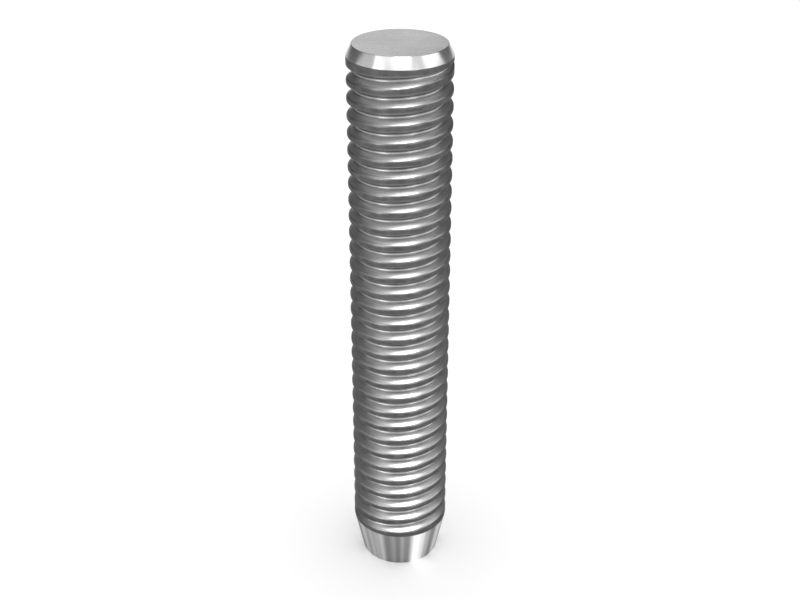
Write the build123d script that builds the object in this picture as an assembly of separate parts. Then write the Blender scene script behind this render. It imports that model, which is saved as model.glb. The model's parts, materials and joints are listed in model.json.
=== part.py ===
from build123d import *
import os
from math import cos, floor, pi, radians, sin, tan

# A taper lock stud: one piece of steel bar, turned at both ends and threaded between them.
# It stands on its tapered end, with its axis on Z and its nut end up. Millimetres and degrees.

# The turned bar, of M6 size
overall_length = 33.5
major_diameter = 5.87
chamfer_length = 0.63
chamfer_depth = 0.315
taper_length = 2.56
taper_end_diameter = 4.76

# The thread, right-handed, with flat crests and straight flanks that meet in its root
pitch = 1.0
crest_width = 0.33
thread_angle = 60

# At each end the thread tool is drawn out over part of a turn, and leaves a plain land at the edge
run_out_angle = 150
least_land = 0.15

# Worked out from the driving dimensions
major_radius = major_diameter / 2
chamfer_bottom = overall_length - chamfer_length
flank_slope = tan(radians(thread_angle / 2))
thread_depth = (pitch - crest_width) / 2 / flank_slope
run_out_turns = run_out_angle / 360
plain_end = run_out_turns * pitch + least_land
whole_turns = floor((chamfer_bottom - taper_length - 2 * plain_end) / pitch)
thread_middle = (taper_length + chamfer_bottom) / 2

# The thread tool stands out of the bar, up to where it is still narrower than the pitch
tool_depth = thread_depth + 0.4 * crest_width / flank_slope
tool_mouth = 2 * tool_depth * flank_slope
tool_section = [
    (major_radius - thread_depth, 0),
    (major_radius - thread_depth + tool_depth, tool_mouth / 2),
    (major_radius - thread_depth + tool_depth, -tool_mouth / 2),
]


def turned_bar():
    """The bar before it is threaded: a short chamfer at the nut end, a long taper at the lock end."""
    outline = Polyline(
        (0, 0),
        (taper_end_diameter / 2, 0),
        (major_radius, taper_length),
        (major_radius, chamfer_bottom),
        (major_radius - chamfer_depth, overall_length),
        (0, overall_length),
        close=True,
    )
    return revolve(Plane.XZ * make_face(outline), Axis.Z)


def helix_point(corner, angle, outward, stretch=1):
    """Where a corner of the tool's section has got to, at an angle in radians from the front."""
    radius, height = corner
    reach = (radius + outward * angle) * stretch
    return (reach * sin(angle), -reach * cos(angle), height + pitch * angle / (2 * pi))


def ruled_patch(corners, start, sweep, outward):
    """The surface that the line between two corners sweeps out as it climbs from start by sweep.

    Each corner's row is a circular arc that rises. Its weights are one over its radius, so that
    a straight line across the patch is straight in its parameters too, and few facets follow it.
    """
    half = sweep / 2
    rows = []
    weights = []
    for corner in corners:
        rows.append([
            helix_point(corner, start, outward),
            helix_point(corner, start + half, outward, 1 / cos(half)),
            helix_point(corner, start + sweep, outward),
        ])
        weights.append([1 / corner[0], cos(half) / corner[0], 1 / corner[0]])
    return Face.make_bezier_surface(rows, weights)


def thread_groove(turns, draw_out=0):
    """What the tool takes off as it climbs from the front of the stud and moves out by draw_out."""
    angle = 2 * pi * turns
    outward = draw_out / angle
    patches = round(4 * turns)
    sides = [
        ruled_patch((tool_section[i - 1], tool_section[i]), angle * n / patches, angle / patches, outward)
        for n in range(patches)
        for i in range(3)
    ]
    ends = [
        Face(Wire.make_polygon([helix_point(corner, at, outward) for corner in tool_section]))
        for at in (0, angle)
    ]
    return Solid(Shell(sides + ends))


bar = turned_bar()

# The whole turns start and end at the front, and a run-out carries on from each end
thread_height = whole_turns * pitch
one_turn = thread_groove(1)
grooves = [
    Pos(0, 0, thread_middle - thread_height / 2 + turn * pitch) * one_turn
    for turn in range(whole_turns)
]
run_out = Pos(0, 0, thread_height / 2) * thread_groove(run_out_turns, 1.05 * thread_depth)
for end_over_end in (0, 180):
    grooves.append(Pos(0, 0, thread_middle) * Rot(0, end_over_end, 0) * run_out)

stud = bar - grooves
stud.label = "taper_lock_stud"

os.makedirs("parts", exist_ok=True)
export_step(stud, "parts/taper_lock_stud.step")
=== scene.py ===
import json
from math import atan2, cos, hypot, pi, radians, sin, tan

import bmesh
import bpy
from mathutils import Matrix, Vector


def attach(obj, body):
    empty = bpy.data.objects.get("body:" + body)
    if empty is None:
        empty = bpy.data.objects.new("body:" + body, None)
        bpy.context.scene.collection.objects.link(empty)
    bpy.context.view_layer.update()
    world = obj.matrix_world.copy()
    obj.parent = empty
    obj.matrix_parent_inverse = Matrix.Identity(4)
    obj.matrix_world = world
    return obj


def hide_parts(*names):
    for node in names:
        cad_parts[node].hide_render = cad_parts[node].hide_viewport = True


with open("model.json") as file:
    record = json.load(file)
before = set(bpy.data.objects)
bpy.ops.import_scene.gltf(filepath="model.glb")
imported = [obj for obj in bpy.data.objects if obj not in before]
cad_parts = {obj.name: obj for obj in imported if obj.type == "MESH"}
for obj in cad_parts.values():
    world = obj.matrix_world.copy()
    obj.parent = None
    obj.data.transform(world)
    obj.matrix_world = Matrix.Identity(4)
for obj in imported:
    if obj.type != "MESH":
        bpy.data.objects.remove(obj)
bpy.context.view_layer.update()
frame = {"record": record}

# The stud: one piece of steel bar, chamfered at its nut end, tapered at its lock end and threaded
# between them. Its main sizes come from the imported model. The rolling dies round the thread's crests
# and roots, and the edges of the turned ends are broken a little.
mm = 0.001
mounts = {mount["name"]: mount["dims"] for mount in frame["record"]["mounts"]}
length = frame["record"]["size"]["bbox_m"][2]
radius = mounts["nut_end_thread"]["r_mm"] * mm
taper_end_radius = mounts["lock_taper"]["r_mm"] * mm
taper_top = mounts["lock_taper"]["length_mm"] * mm
chamfer_length = 0.63 * mm
chamfer_depth = 0.315 * mm
chamfer_bottom = length - chamfer_length
land = 0.12 * mm
edge_cut_back = 0.02 * mm

pitch = 1.0 * mm
crest_width = 0.33 * mm
flank_angle = 30
crest_cut_back = 0.10 * mm
root_cut_back = 0.24 * mm
whole_turns = 29
spare_turns = 2
run_out_turns = 150 / 360
depths_drawn_out = 1.05
steps_a_turn = 120
touching = 0.002 * mm

groove_mouth = pitch - crest_width
groove_depth = groove_mouth / 2 / tan(radians(flank_angle))
thread_bottom = (taper_top + chamfer_bottom - whole_turns * pitch) / 2

# The groove's outline, from below the taper's edge to above the chamfer's, at the front of the stud
metal = bmesh.new()
crest_corners = []
roots = []
below = None
for groove in range(-spare_turns, whole_turns + spare_turns + 1):
    root_height = thread_bottom + groove * pitch
    lower = metal.verts.new((0, -radius, root_height - groove_mouth / 2))
    root = metal.verts.new((0, groove_depth - radius, root_height))
    upper = metal.verts.new((0, -radius, root_height + groove_mouth / 2))
    metal.edges.new((lower, root))
    metal.edges.new((root, upper))
    if below:
        metal.edges.new((below, lower))
        crest_corners += [below, lower]
    roots.append(root)
    below = upper
for corners, cut_back, segments in ((crest_corners, crest_cut_back, 4), (roots, root_cut_back, 7)):
    bmesh.ops.bevel(
        metal,
        geom=corners,
        offset=cut_back,
        offset_type="OFFSET",
        segments=segments,
        profile=0.5,
        affect="VERTICES",
        material=-1,
    )

# One turn of the outline that climbs by a pitch meets itself, and so is the whole helix
bmesh.ops.spin(
    metal,
    geom=metal.verts[:] + metal.edges[:],
    cent=(0, 0, 0),
    axis=(0, 0, 1),
    dvec=(0, 0, pitch / steps_a_turn),
    angle=2 * pi,
    steps=steps_a_turn,
)
bmesh.ops.remove_doubles(metal, verts=metal.verts, dist=touching)

# At each end the groove grows narrow and shallow alike, as the tool is drawn out, and then is gone
for vert in metal.verts:
    part_turn = atan2(vert.co.x, -vert.co.y) / (2 * pi) % 1
    turns = part_turn + round((vert.co.z - thread_bottom) / pitch - part_turn)
    past_end = max(-turns, turns - whole_turns, 0)
    left = max(1 - depths_drawn_out * past_end / run_out_turns, 0)
    reach = hypot(vert.co.x, vert.co.y)
    outward = (radius - (radius - reach) * left) / reach
    root_height = thread_bottom + turns * pitch
    vert.co.x *= outward
    vert.co.y *= outward
    vert.co.z = root_height + (vert.co.z - root_height) * left
bmesh.ops.remove_doubles(metal, verts=metal.verts, dist=touching)

# The plain land is cut level near the chamfer and the taper, which are drawn on from there
for cut_height, up, rings in (
    (chamfer_bottom - land, 1, ((radius, chamfer_bottom), (radius - chamfer_depth, length))),
    (taper_top + land, -1, ((radius, taper_top), (taper_end_radius, 0))),
):
    cut = bmesh.ops.bisect_plane(
        metal,
        geom=metal.verts[:] + metal.edges[:] + metal.faces[:],
        dist=0.0001 * mm,
        plane_co=(0, 0, cut_height),
        plane_no=(0, 0, up),
        clear_outer=True,
    )["geom_cut"]
    ring = [part for part in cut if isinstance(part, bmesh.types.BMEdge)]
    ring_radius = radius
    sharp_edges = []
    for next_radius, height in rings:
        drawn = bmesh.ops.extrude_edge_only(metal, edges=ring)["geom"]
        corners = {part for part in drawn if isinstance(part, bmesh.types.BMVert)}
        for vert in corners:
            vert.co.x *= next_radius / ring_radius
            vert.co.y *= next_radius / ring_radius
            vert.co.z = height
        ring = [
            part for part in drawn
            if isinstance(part, bmesh.types.BMEdge) and corners.issuperset(part.verts)
        ]
        ring_radius = next_radius
        sharp_edges += ring
    bmesh.ops.edgeloop_fill(metal, edges=ring)
    bmesh.ops.bevel(
        metal,
        geom=sharp_edges,
        offset=edge_cut_back,
        offset_type="OFFSET",
        segments=3,
        profile=0.5,
        affect="EDGES",
        material=-1,
    )
bmesh.ops.recalc_face_normals(metal, faces=metal.faces)

# Each face has the number of its finish in the mesh, which is 0 on the chamfer
thread_finish, end_finish, taper_finish = 1, 2, 3
nearly_level = 0.99
for face in metal.faces:
    face.smooth = True
    height = face.calc_center_median().z
    if abs(face.normal.z) > nearly_level:
        face.material_index = end_finish
    elif height < taper_top:
        face.material_index = taper_finish
    elif height < chamfer_bottom:
        face.material_index = thread_finish

mesh = bpy.data.meshes.new("taper_lock_stud_metal")
metal.to_mesh(mesh)
metal.free()
stud = bpy.data.objects.new("taper_lock_stud_metal", mesh)
bpy.context.scene.collection.objects.link(stud)
level_shading = stud.modifiers.new("level_shading", "WEIGHTED_NORMAL")
level_shading.mode = "FACE_AREA"
level_shading.weight = 50
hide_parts("taper_lock_stud")
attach(stud, "root")


# The stud's surface: bare steel in four finishes, as each tool left it, with painted highlights and shade
# on the chamfer, the taper and the thread. They share a soft mottle, and all but the faced ends share the
# fine rings that a tool leaves round the axis.
def grain_group():
    """Rings round the axis and a soft mottle, and how far each point is from the axis."""
    group = bpy.data.node_groups.new("steel_grain", "ShaderNodeTree")
    for name in ("Ring Spacing", "Mottle Size"):
        group.interface.new_socket(name, in_out="INPUT", socket_type="NodeSocketFloat")
    for name in ("Rings", "Mottle", "From Axis"):
        group.interface.new_socket(name, in_out="OUTPUT", socket_type="NodeSocketFloat")
    nodes = group.nodes
    links = group.links
    given = nodes.new("NodeGroupInput")
    result = nodes.new("NodeGroupOutput")
    place = nodes.new("ShaderNodeTexCoord")
    level = nodes.new("ShaderNodeVectorMath")
    level.operation = "MULTIPLY"
    level.inputs[1].default_value = (1, 1, 0)
    links.new(place.outputs["Object"], level.inputs[0])
    from_axis = nodes.new("ShaderNodeVectorMath")
    from_axis.operation = "LENGTH"
    links.new(level.outputs["Vector"], from_axis.inputs[0])
    links.new(from_axis.outputs["Value"], result.inputs["From Axis"])
    parts = nodes.new("ShaderNodeSeparateXYZ")
    links.new(place.outputs["Object"], parts.inputs["Vector"])
    along = nodes.new("ShaderNodeMath")
    along.operation = "SUBTRACT"
    links.new(from_axis.outputs["Value"], along.inputs[0])
    links.new(parts.outputs["Z"], along.inputs[1])
    ring_number = nodes.new("ShaderNodeMath")
    ring_number.operation = "DIVIDE"
    links.new(along.outputs["Value"], ring_number.inputs[0])
    links.new(given.outputs["Ring Spacing"], ring_number.inputs[1])
    rings = nodes.new("ShaderNodeTexNoise")
    rings.noise_dimensions = "1D"
    rings.inputs["Scale"].default_value = 1
    rings.inputs["Detail"].default_value = 3
    links.new(ring_number.outputs["Value"], rings.inputs["W"])
    links.new(rings.outputs["Fac"], result.inputs["Rings"])
    shrink = nodes.new("ShaderNodeVectorMath")
    shrink.operation = "DIVIDE"
    links.new(place.outputs["Object"], shrink.inputs[0])
    links.new(given.outputs["Mottle Size"], shrink.inputs[1])
    mottle = nodes.new("ShaderNodeTexNoise")
    mottle.inputs["Scale"].default_value = 1
    mottle.inputs["Detail"].default_value = 3
    links.new(shrink.outputs["Vector"], mottle.inputs["Vector"])
    links.new(mottle.outputs["Fac"], result.inputs["Mottle"])
    return group


steel_grain = grain_group()
tool_mark_height = 0.002 * mm


def steel(name, ring_spacing, mottle_size):
    """A metal material with the grain group placed in it."""
    material = bpy.data.materials.new(name)
    material.use_nodes = True
    nodes = material.node_tree.nodes
    surface = nodes["Principled BSDF"]
    surface.inputs["Metallic"].default_value = 1
    grain = nodes.new("ShaderNodeGroup")
    grain.node_tree = steel_grain
    grain.inputs["Ring Spacing"].default_value = ring_spacing
    grain.inputs["Mottle Size"].default_value = mottle_size
    return material, nodes, material.node_tree.links, surface, grain.outputs


def spread(nodes, links, value, low, high, start=0.3, end=0.7):
    """Stretches the part of a value between start and end over the range from low to high."""
    node = nodes.new("ShaderNodeMapRange")
    node.inputs["From Min"].default_value = start
    node.inputs["From Max"].default_value = end
    node.inputs["To Min"].default_value = low
    node.inputs["To Max"].default_value = high
    links.new(value, node.inputs["Value"])
    return node.outputs["Result"]


def paint(nodes, links, surface, tone):
    """Gives the surface a grey of a tone that changes over it."""
    shade = nodes.new("ShaderNodeCombineColor")
    for channel in ("Red", "Green", "Blue"):
        links.new(tone, shade.inputs[channel])
    links.new(shade.outputs["Color"], surface.inputs["Base Color"])


def roughen(nodes, links, surface, height, strength):
    """Raises the tool's marks on the surface."""
    bump = nodes.new("ShaderNodeBump")
    bump.inputs["Strength"].default_value = strength
    bump.inputs["Distance"].default_value = tool_mark_height
    links.new(height, bump.inputs["Height"])
    links.new(bump.outputs["Normal"], surface.inputs["Normal"])


# Turned steel, on the chamfer and the taper. The stripes' noise is turned and moved to where its
# bright and dark stripes fall as in the picture.
# The bright stripes are painted highlights and reflections, and the dark ones painted shade.
painted_stripes_turned = radians(232)
painted_stripes_moved = 4.475


def turned(name, darkest, brightest, smoothest, roughest):
    """Turned steel: its fine rings draw each light out into a stripe along the slope, and its tone is
    painted in stripes: the bright ones are painted highlights and reflections, the dark ones painted
    shade."""
    material, nodes, links, surface, grain = steel(name, ring_spacing=0.03 * mm, mottle_size=0.9 * mm)
    place = nodes.new("ShaderNodeTexCoord")
    around = nodes.new("ShaderNodeVectorMath")
    around.operation = "CROSS_PRODUCT"
    around.inputs[1].default_value = (0, 0, 1)
    links.new(place.outputs["Object"], around.inputs[0])
    links.new(around.outputs["Vector"], surface.inputs["Tangent"])
    surface.inputs["Anisotropic"].default_value = 0.9
    surface.inputs["Anisotropic Rotation"].default_value = 0.25
    heading = nodes.new("ShaderNodeVectorMath")
    heading.operation = "NORMALIZE"
    links.new(around.outputs["Vector"], heading.inputs[0])
    turn = nodes.new("ShaderNodeMapping")
    turn.inputs["Rotation"].default_value = (0, 0, painted_stripes_turned)
    turn.inputs["Location"].default_value = (0, 0, painted_stripes_moved)
    links.new(heading.outputs["Vector"], turn.inputs["Vector"])
    # Painted highlights and shade: this noise sets the stripes' tone.
    stripes = nodes.new("ShaderNodeTexNoise")
    stripes.inputs["Scale"].default_value = 2
    stripes.inputs["Detail"].default_value = 2
    links.new(turn.outputs["Vector"], stripes.inputs["Vector"])
    tone = spread(nodes, links, stripes.outputs["Fac"], darkest, brightest, start=0.42, end=0.65)
    paint(nodes, links, surface, tone)
    roughness = spread(nodes, links, grain["Mottle"], smoothest, roughest)
    links.new(roughness, surface.inputs["Roughness"])
    roughen(nodes, links, surface, grain["Rings"], strength=0.25)
    return material


# The taper's painted stripes run from deep painted shade to bright painted highlight; the chamfer's are
# milder.
chamfer_steel = turned("chamfer_steel", darkest=0.46, brightest=0.62, smoothest=0.19, roughest=0.25)
taper_steel = turned("taper_steel", darkest=0.20, brightest=0.95, smoothest=0.39, roughest=0.45)

# Faced steel, on both ends: ground flat and even, with soft straight streaks
streak_length = 1.1 * mm
streak_width = 0.35 * mm
faced_steel, nodes, links, surface, grain = steel(
    "faced_steel", ring_spacing=0.15 * mm, mottle_size=3.5 * mm
)
place = nodes.new("ShaderNodeTexCoord")
lay = nodes.new("ShaderNodeMapping")
lay.inputs["Scale"].default_value = (1 / streak_length, 1 / streak_width, 1 / streak_length)
links.new(place.outputs["Object"], lay.inputs["Vector"])
streaks = nodes.new("ShaderNodeTexNoise")
streaks.inputs["Scale"].default_value = 1
streaks.inputs["Detail"].default_value = 3
links.new(lay.outputs["Vector"], streaks.inputs["Vector"])
mottle_tone = spread(nodes, links, grain["Mottle"], low=0.34, high=0.47)
streak_tone = spread(nodes, links, streaks.outputs["Fac"], low=-0.03, high=0.03)
tone = nodes.new("ShaderNodeMath")
tone.operation = "ADD"
links.new(mottle_tone, tone.inputs[0])
links.new(streak_tone, tone.inputs[1])
paint(nodes, links, surface, tone.outputs["Value"])
roughness = spread(nodes, links, streaks.outputs["Fac"], low=0.23, high=0.29)
links.new(roughness, surface.inputs["Roughness"])
roughen(nodes, links, surface, streaks.outputs["Fac"], strength=0.3)

# Rolled steel, on the thread: the dies burnish its flanks and leave its crests duller. The dark tone of
# the crests and their shoulders, and the darker roots, are painted shade.
# Where the crest and the root begin goes by the distance from the axis.
crest_start = radius - 0.10 * mm
crest_full = radius - 0.005 * mm
root_start = radius - 0.33 * mm
root_full = radius - 0.43 * mm
rolled_steel, nodes, links, surface, grain = steel(
    "rolled_steel", ring_spacing=0.1 * mm, mottle_size=0.5 * mm
)
surface.inputs["Specular Tint"].default_value = (0.5, 0.5, 0.5, 1)
crest = spread(nodes, links, grain["From Axis"], low=0, high=1, start=crest_start, end=crest_full)
root = spread(nodes, links, grain["From Axis"], low=1, high=0, start=root_full, end=root_start)
flank_tone = spread(nodes, links, grain["Rings"], low=0.36, high=0.52)
# Painted shade: darker roots, for the shade in the recess, and dark crests and shoulders, for the dark
# that they reflect.
painted_root_shade = spread(nodes, links, grain["Mottle"], low=0.28, high=0.36)
painted_crest_shade = spread(nodes, links, grain["Mottle"], low=0.08, high=0.13)
groove_tone = nodes.new("ShaderNodeMix")
links.new(root, groove_tone.inputs["Factor"])
links.new(flank_tone, groove_tone.inputs["A"])
links.new(painted_root_shade, groove_tone.inputs["B"])
tone = nodes.new("ShaderNodeMix")
links.new(crest, tone.inputs["Factor"])
links.new(groove_tone.outputs["Result"], tone.inputs["A"])
links.new(painted_crest_shade, tone.inputs["B"])
paint(nodes, links, surface, tone.outputs["Result"])
roughness = spread(nodes, links, crest, low=0.31, high=0.34, start=0, end=1)
links.new(roughness, surface.inputs["Roughness"])
roughen(nodes, links, surface, grain["Rings"], strength=0.2)

for finish in (chamfer_steel, rolled_steel, faced_steel, taper_steel):
    mesh.materials.append(finish)


# The floor: plain, pale and wide enough to fill the view. It is dull, so that the stud has a
# shadow there and no mirror image.
def dull_square(name, half_size, tone):
    """A flat square of a dull grey, level and at the origin."""
    square = bmesh.new()
    bmesh.ops.create_grid(square, x_segments=1, y_segments=1, size=half_size)
    square_mesh = bpy.data.meshes.new(name)
    square.to_mesh(square_mesh)
    square.free()
    dull_paint = bpy.data.materials.new(name + "_paint")
    dull_paint.use_nodes = True
    surface = dull_paint.node_tree.nodes["Principled BSDF"]
    surface.inputs["Base Color"].default_value = (tone, tone, tone, 1)
    surface.inputs["Roughness"].default_value = 1.0
    surface.inputs["Specular IOR Level"].default_value = 0.0
    square_mesh.materials.append(dull_paint)
    return bpy.data.objects.new(name, square_mesh)


floor = dull_square("floor", half_size=3.0, tone=0.96)
bpy.context.scene.collection.objects.link(floor)

# The studio: an even white room, which lights the stud a little more strongly than it is seen.
# Soft boxes in front, behind, to the right, overhead and low down show only as reflections, as do
# the grey cards behind, which give the steel its dark edges.
room_light = 1.15
room_white = 1.0
world = bpy.data.worlds.new("white_room")
bpy.context.scene.world = world
world.use_nodes = True
nodes = world.node_tree.nodes
links = world.node_tree.links
light_path = nodes.new("ShaderNodeLightPath")
seen = light_path.outputs["Is Camera Ray"]
for ray in ("Is Glossy Ray", "Is Transmission Ray"):
    either = nodes.new("ShaderNodeMath")
    either.operation = "MAXIMUM"
    links.new(seen, either.inputs[0])
    links.new(light_path.outputs[ray], either.inputs[1])
    seen = either.outputs[0]
strength = nodes.new("ShaderNodeMapRange")
strength.inputs["To Min"].default_value = room_light
strength.inputs["To Max"].default_value = room_white
links.new(seen, strength.inputs["Value"])
links.new(strength.outputs["Result"], nodes["Background"].inputs["Strength"])
nodes["Background"].inputs["Color"].default_value = (1, 1, 1, 1)


def face_stud(thing, azimuth, elevation, distance):
    """Stands a box or card so that it faces the stud. Azimuth is counted from the front, to the right."""
    side, rise = radians(azimuth), radians(elevation)
    towards = Vector((cos(rise) * sin(side), -cos(rise) * cos(side), sin(rise)))
    thing.location = towards * distance
    thing.rotation_euler = towards.to_track_quat("Z", "Y").to_euler()
    bpy.context.scene.collection.objects.link(thing)


box_distance = 1.0
for name, azimuth, elevation, width, height, radiance in (
    ("front_box", -19, 45, 1.42, 0.6, 1.1),
    ("side_box", 83, 33, 0.72, 0.5, 1.5),
    ("top_box", 9, 68, 0.42, 0.34, 22),
    ("back_box", 180, 45, 1.6, 0.6, 1.5),
    ("low_left", -46, 11, 0.42, 0.32, 6),
    ("low_right", 30, 9, 0.30, 0.25, 7),
):
    lamp = bpy.data.lights.new(name, "AREA")
    lamp.shape = "RECTANGLE"
    lamp.size = width
    lamp.size_y = height
    lamp.energy = radiance * pi * width * height
    box = bpy.data.objects.new(name, lamp)
    face_stud(box, azimuth, elevation, box_distance)
    box.visible_diffuse = False

card_distance = 0.9
for name, azimuth, elevation in (("left_card", -138, 33), ("right_card", 141, 33)):
    card = dull_square(name, half_size=0.6, tone=0.15)
    face_stud(card, azimuth, elevation, card_distance)
    card.visible_camera = False
    card.visible_diffuse = False
    card.visible_shadow = False

# The camera is at the picture's viewing angle: 28 degrees up, straight in front. Its distance and
# the height that it looks at were fitted to the picture, in diameters of the stud.
diameter = 2 * radius
rise = radians(28.27)
distance = 12.355 * diameter
aim = Vector((0, 0, 3.056 * diameter))
lens = bpy.data.cameras.new("camera")
lens.lens = 55.13
lens.sensor_width = 36
lens.clip_start = 0.005
camera = bpy.data.objects.new("camera", lens)
camera.location = aim + distance * Vector((0, -cos(rise), sin(rise)))
camera.rotation_euler = (aim - camera.location).to_track_quat("-Z", "Y").to_euler()
bpy.context.scene.collection.objects.link(camera)
bpy.context.scene.camera = camera
bpy.context.scene.view_settings.view_transform = "Standard"
